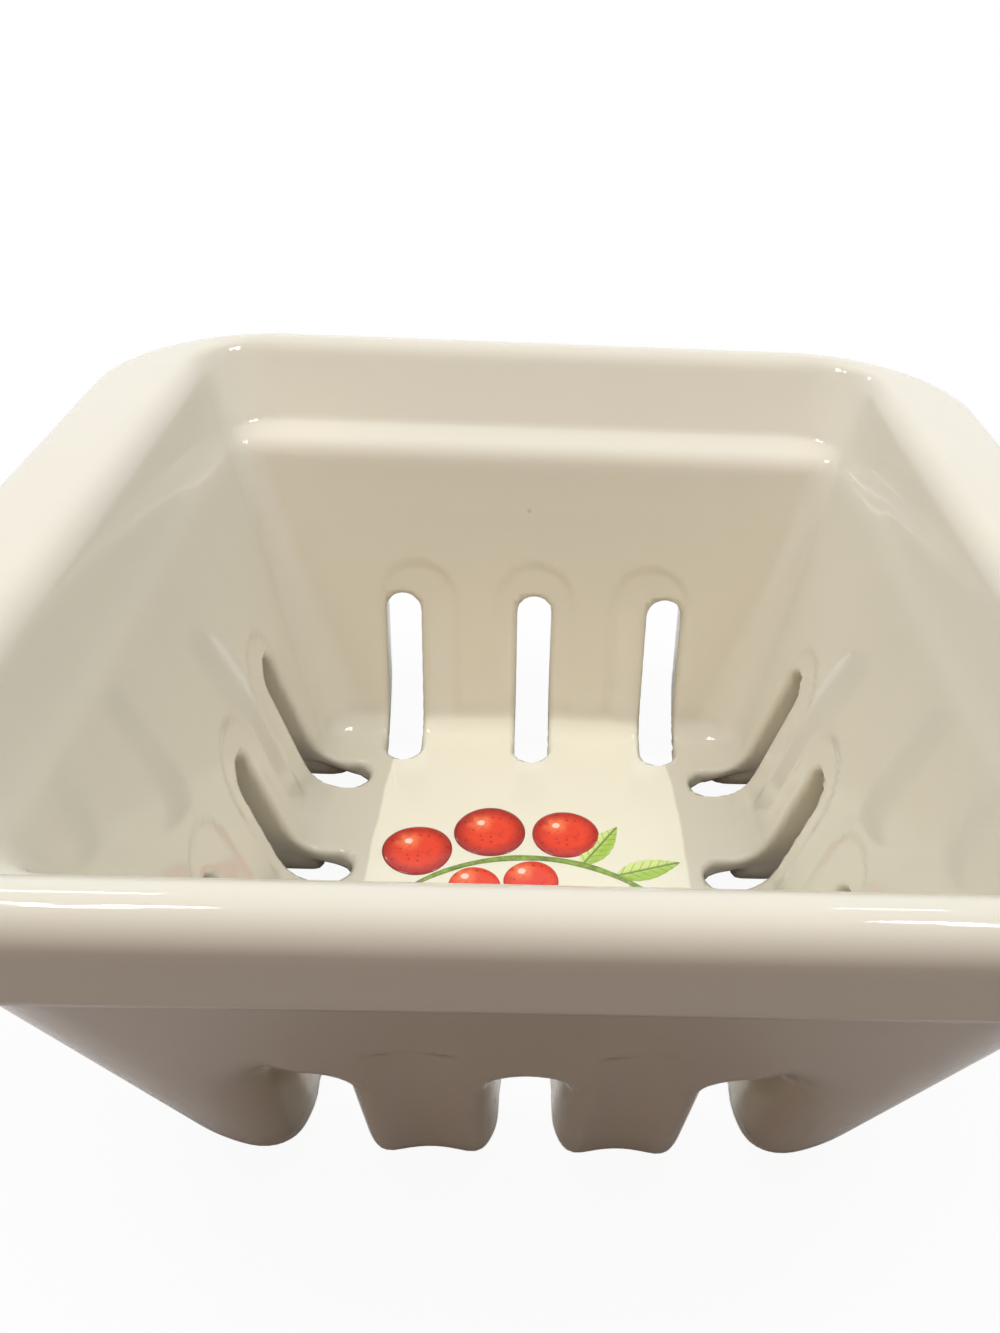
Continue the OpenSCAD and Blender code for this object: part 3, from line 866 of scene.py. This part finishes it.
def on_arc(sprig, turn, radius):
    """Frame on the stem's arc at an angle and a radius, x pointing outwards."""
    centre = Matrix.Translation((0, -sprig.stem_drop, FLOOR_Z))
    spin = Matrix.Rotation(math.radians(turn), 4, "Z")
    return centre @ spin @ Matrix.Translation((radius, 0, 0))


# ---- operators


class BuildBody(bpy.types.Operator):
    """Build the glazed ceramic body as one continuous skin"""

    bl_idname = "berry_bowl.body"
    bl_label = "Glazed body"

    def execute(self, context):
        sizes = context.scene.bowl_sizes
        points, quads, normals = bowl_skin(sizes)
        mesh = bpy.data.meshes.new("glazed_body")
        mesh.from_pydata(points.tolist(), [], quads.tolist())
        mesh.shade_smooth()
        mesh.normals_split_custom_set_from_vertices(normals.tolist())
        if len(mesh.polygons) < FEWEST_FACES:
            raise RuntimeError("the skin of the bowl came out empty")
        material = glazed_ceramic(context.scene.bowl_colours)
        add_piece("glazed_body", mesh, material, CERAMIC_NODES)
        return {"FINISHED"}


class BuildBerries(bpy.types.Operator):
    """Build the painted berries of the sprig"""

    bl_idname = "berry_bowl.berries"
    bl_label = "Painted berries"

    def execute(self, context):
        sprig = context.scene.sprig_sizes
        material = berry_enamel(context.scene.bowl_colours)
        t = np.linspace(0, 2 * math.pi, BERRY_POINTS, endpoint=False)
        for name, turn, side, share in BERRIES:
            r = sprig.berry_radius * share
            wobble = 1 - BERRY_WOBBLE * (1 + np.sin(3 * t + turn))
            outline = np.stack([r * wobble * np.cos(t), r * wobble * np.sin(t)], 1)
            mesh = flat_relief(name, outline, sprig.thickness, BERRY_EDGE)
            out = side * (sprig.stem_width / 2 + BERRY_GAP + r)
            at = Matrix.Translation(on_arc(sprig, turn, sprig.stem_arc + out).translation)
            add_piece(name, mesh, material, ["enamel_berries"], at)
        return {"FINISHED"}


class BuildLeaves(bpy.types.Operator):
    """Build the painted leaves of the sprig"""

    bl_idname = "berry_bowl.leaves"
    bl_label = "Painted leaves"

    def execute(self, context):
        sprig = context.scene.sprig_sizes
        material = leaf_enamel(context.scene.bowl_colours)
        # One outline for all, with a finely toothed edge
        x = np.linspace(0, 1, LEAF_POINTS)
        blade = np.sin(np.pi * x**0.85) ** 0.9 * (1 - 0.18 * x)
        saw = 1 - 0.07 * np.abs(np.sin(np.pi * LEAF_TEETH * x))
        y = sprig.leaf_width / 2 * blade * saw
        upper = np.stack([sprig.leaf_length * x, y], 1)
        lower = np.stack([sprig.leaf_length * x, -y], 1)[::-1]
        outline = np.concatenate([lower[:-1], upper[:-1]])
        for name, turn, lean, layer in LEAVES:
            mesh = flat_relief(name, outline, sprig.thickness * (0.55 + 0.1 * layer), LEAF_EDGE)
            spin = Matrix.Rotation(math.radians(lean - 90), 4, "Z")
            at = on_arc(sprig, turn, sprig.stem_arc) @ spin
            add_piece(name, mesh, material, ["enamel_leaves"], at)
        return {"FINISHED"}


class BuildStem(bpy.types.Operator):
    """Build the painted stem of the sprig"""

    bl_idname = "berry_bowl.stem"
    bl_label = "Painted stem"

    def execute(self, context):
        sprig = context.scene.sprig_sizes
        points, faces = [], []
        for i in range(STEM_STEPS + 1):
            share = i / STEM_STEPS
            t = math.radians(STEM_FROM + (STEM_TO - STEM_FROM) * share)
            taper = 0.35 + 0.65 * math.sin(math.pi * min(max(share, 0.04), 0.96)) ** 0.5
            half = sprig.stem_width / 2 * taper * (1 + 0.10 * math.sin(23 * share))
            for off, z in STEM_SECTION:
                r = sprig.stem_arc + off * half
                x, y = r * math.cos(t), r * math.sin(t) - sprig.stem_drop
                points.append((x, y, FLOOR_Z + z))
        n = len(STEM_SECTION)
        for i in range(STEM_STEPS):
            for k in range(n):
                j = (k + 1) % n
                faces.append((i * n + k, i * n + j, (i + 1) * n + j, (i + 1) * n + k))
        faces.append(tuple(range(n - 1, -1, -1)))
        faces.append(tuple(STEM_STEPS * n + k for k in range(n)))
        mesh = bpy.data.meshes.new("stem")
        mesh.from_pydata(points, [], faces)
        mesh.shade_smooth()
        material = line_enamel(context.scene.bowl_colours)
        add_piece("stem", mesh, material, ["enamel_stem"])
        return {"FINISHED"}


WHITE = (1, 1, 1, 1)
# Floor: half width, colour to the eye and in its bounce; its glow's share at the bowl,
# and the distances over which it becomes full
FLOOR_HALF, FLOOR_SEEN, FLOOR_BOUNCE = 3.0, (0.88, 0.88, 0.88), (0.14, 0.098, 0.075)
GLOW_SHARE, GLOW_FROM, GLOW_TO = 0.94, 0.075, 0.17
# Sky: colours and strengths near the horizon and overhead
SKY_LOW, SKY_HIGH, SKY_DIM, SKY_BRIGHT = (1.0, 0.86, 0.76), (0.95, 0.97, 1.0), 0.035, 0.13
# Lamps: name, place, size, watts, colour; the bulbs are all of one kind
LAMPS = (
    ("ceiling", (0.00, -0.04, 0.95), (0.70, 0.70), 4.3, (0.98, 0.98, 1.0)),
    ("room", (-0.25, -0.75, 0.75), (0.50, 0.50), 1.6, (1.0, 0.67, 0.48)),
    ("left_window", (-0.62, 0.42, 0.60), (0.50, 0.50), 2.1, (0.84, 0.92, 1.0)),
    ("right_window", (0.62, 0.42, 0.60), (0.50, 0.50), 1.6, (0.80, 0.90, 1.0)),
    ("left_tube", (-0.475, 0.65, 0.78), (0.20, 0.06), 0.42, (0.90, 0.95, 1.0)),
    ("right_tube", (0.39, 0.65, 0.78), (0.12, 0.05), 0.18, (0.90, 0.95, 1.0)),
)
BULB = ((0.09, 0.09), 0.42, (1.0, 0.97, 0.92))
BULBS = (
    (-0.43, 0.04, 0.83), (-0.36, -0.05, 0.85), (-0.30, 0.02, 0.85),
    (0.34, 0.02, 0.85), (0.40, -0.05, 0.85), (0.47, 0.04, 0.83),
)
# Camera fitted to the photograph: degrees, pixels and metres
FRAME_WIDTH, FRAME_HEIGHT, SENSOR = 1000, 1333, 36.0
YAW, PITCH, ROLL = 2.401, 41.335, -2.963
FOCAL, CENTRE_X, CENTRE_Y = 1037.776, 555.557, 810.912
CAMERA_PLACE = (-0.001229, -0.121961, 0.127198)


class BuildStage(bpy.types.Operator):
    """Build the floor, the lamps, the world and the camera"""

    bl_idname = "berry_bowl.stage"
    bl_label = "Stage"

    def execute(self, context):
        scene = context.scene
        self.floor()
        self.world(scene)
        self.lamps()
        self.camera(scene)
        scene.view_settings.view_transform = "Standard"
        return {"FINISHED"}

    @staticmethod
    def floor():
        """A wide pale floor under the bowl, white to the eye and warm in its bounce."""
        mesh = bpy.data.meshes.new("floor")
        r = FLOOR_HALF
        mesh.from_pydata([(-r, -r, 0), (r, -r, 0), (r, r, 0), (-r, r, 0)], [], [(0, 1, 2, 3)])
        floor = placed("floor", mesh)
        material, n = new_material("Pale floor")
        ray = n.add("ShaderNodeLightPath").outputs
        direct = n.math("MAXIMUM", ray["Is Camera Ray"], ray["Is Transmission Ray"])
        seen = n.math("MAXIMUM", direct, ray["Is Glossy Ray"])
        tint = n.mix(seen, FLOOR_BOUNCE, FLOOR_SEEN)
        matt = n.add("ShaderNodeBsdfPrincipled", {"Base Color": tint, "Roughness": 0.9})
        glow = n.add("ShaderNodeEmission", {"Color": WHITE, "Strength": 1.0})
        near = n.times(direct, GLOW_SHARE)
        share = n.times(seen, n.ramp(n.far(n.place()), GLOW_FROM, GLOW_TO, near, 1.0))
        both = {0: share, 1: matt.outputs[0], 2: glow.outputs[0]}
        mixed = n.add("ShaderNodeMixShader", both)
        n.add("ShaderNodeOutputMaterial", {"Surface": mixed.outputs[0]})
        mesh.materials.append(material)

    @staticmethod
    def world(scene):
        """White behind the bowl, and a soft dimmer sky for the light itself."""
        world = bpy.data.worlds.new("Studio")
        world.use_nodes = True
        world.node_tree.nodes.clear()
        n = Nodes(world.node_tree)
        ray = n.add("ShaderNodeLightPath").outputs
        seen = n.math("MAXIMUM", ray["Is Camera Ray"], ray["Is Glossy Ray"])
        seen = n.math("MAXIMUM", seen, ray["Is Transmission Ray"])
        up = n.parts(n.add("ShaderNodeTexCoord").outputs["Generated"])["Z"]
        tint = n.mix(n.ramp(up, 0.1, 0.9), SKY_LOW, SKY_HIGH)
        strength = n.ramp(up, 0.0, 0.9, SKY_DIM, SKY_BRIGHT)
        sky = n.add("ShaderNodeBackground", {"Color": tint, "Strength": strength})
        white = n.add("ShaderNodeBackground", {"Color": WHITE, "Strength": 1.0})
        both = {0: seen, 1: sky.outputs[0], 2: white.outputs[0]}
        mixed = n.add("ShaderNodeMixShader", both)
        n.add("ShaderNodeOutputWorld", {"Surface": mixed.outputs[0]})
        scene.world = world

    @staticmethod
    def lamps():
        """Broad soft lights, then two tubes and six bulbs that glint in the glaze."""
        bulbs = [(f"bulb_{i + 1}", place, *BULB) for i, place in enumerate(BULBS)]
        for name, place, size, power, tint in (*LAMPS, *bulbs):
            data = bpy.data.lights.new(name, "AREA")
            data.shape = "ELLIPSE" if "bulb" in name else "RECTANGLE"
            data.size, data.size_y = size
            data.energy = power
            data.color = tint
            lamp = placed(name, data)
            lamp.location = place
            aim = Vector((place[0] if "tube" in name else 0, 0, 0))
            lamp.rotation_euler = (aim - lamp.location).to_track_quat("-Z", "Y").to_euler()
            lamp.visible_camera = False
            lamp.visible_glossy = "tube" in name or "bulb" in name

    @staticmethod
    def camera(scene):
        """Camera at the photograph's place, for a frame of 1000 by 1333."""
        yaw, pitch, roll = (math.radians(a) for a in (YAW, PITCH, ROLL))
        level = math.cos(pitch)
        ahead = np.array([math.sin(yaw) * level, math.cos(yaw) * level, -math.sin(pitch)])
        right = np.array([math.cos(yaw), -math.sin(yaw), 0.0])
        down = np.cross(ahead, right)
        x = math.cos(roll) * right + math.sin(roll) * down
        y = -math.sin(roll) * right + math.cos(roll) * down
        data = bpy.data.cameras.new("camera")
        data.sensor_width = SENSOR
        data.sensor_fit = "AUTO"
        data.lens = FOCAL / FRAME_HEIGHT * SENSOR
        data.shift_x = -(CENTRE_X - FRAME_WIDTH / 2) / FRAME_HEIGHT
        data.shift_y = (CENTRE_Y - FRAME_HEIGHT / 2) / FRAME_HEIGHT
        data.clip_start = 0.01
        camera = placed("camera", data)
        at = Matrix.Identity(4)
        for row in range(3):
            at[row] = (x[row], -y[row], -ahead[row], CAMERA_PLACE[row])
        camera.matrix_world = at
        scene.camera = camera


class BowlPanel(bpy.types.Panel):
    """Lists the bowl's pieces, sizes and colours."""

    bl_idname = "VIEW3D_PT_berry_bowl"
    bl_label = "Berry Bowl"
    bl_space_type = "VIEW_3D"
    bl_region_type = "UI"
    bl_category = "Berry Bowl"

    def draw(self, context):
        layout, scene = self.layout, context.scene
        for operator in OPERATORS:
            layout.operator(operator.bl_idname, text=operator.bl_label)
        for group in (scene.bowl_sizes, scene.sprig_sizes, scene.bowl_colours):
            box = layout.box()
            for key in group.__annotations__:
                box.prop(group, key)


OPERATORS = (BuildBody, BuildLeaves, BuildStem, BuildBerries, BuildStage)
CLASSES = (BowlSizes, SprigSizes, GlazeColours, *OPERATORS, BowlPanel)


def register():
    """Register the classes and their settings."""
    for cls in CLASSES:
        bpy.utils.register_class(cls)
    bpy.types.Scene.bowl_sizes = PointerProperty(type=BowlSizes)
    bpy.types.Scene.sprig_sizes = PointerProperty(type=SprigSizes)
    bpy.types.Scene.bowl_colours = PointerProperty(type=GlazeColours)


def unregister():
    """Take the settings and classes away again."""
    del bpy.types.Scene.bowl_sizes
    del bpy.types.Scene.sprig_sizes
    del bpy.types.Scene.bowl_colours
    for cls in reversed(CLASSES):
        bpy.utils.unregister_class(cls)


def main():
    """Build every piece and the stage."""
    register()
    bpy.ops.berry_bowl.body()
    bpy.ops.berry_bowl.leaves()
    bpy.ops.berry_bowl.stem()
    bpy.ops.berry_bowl.berries()
    bpy.ops.berry_bowl.stage()


if __name__ == "__main__":
    main()
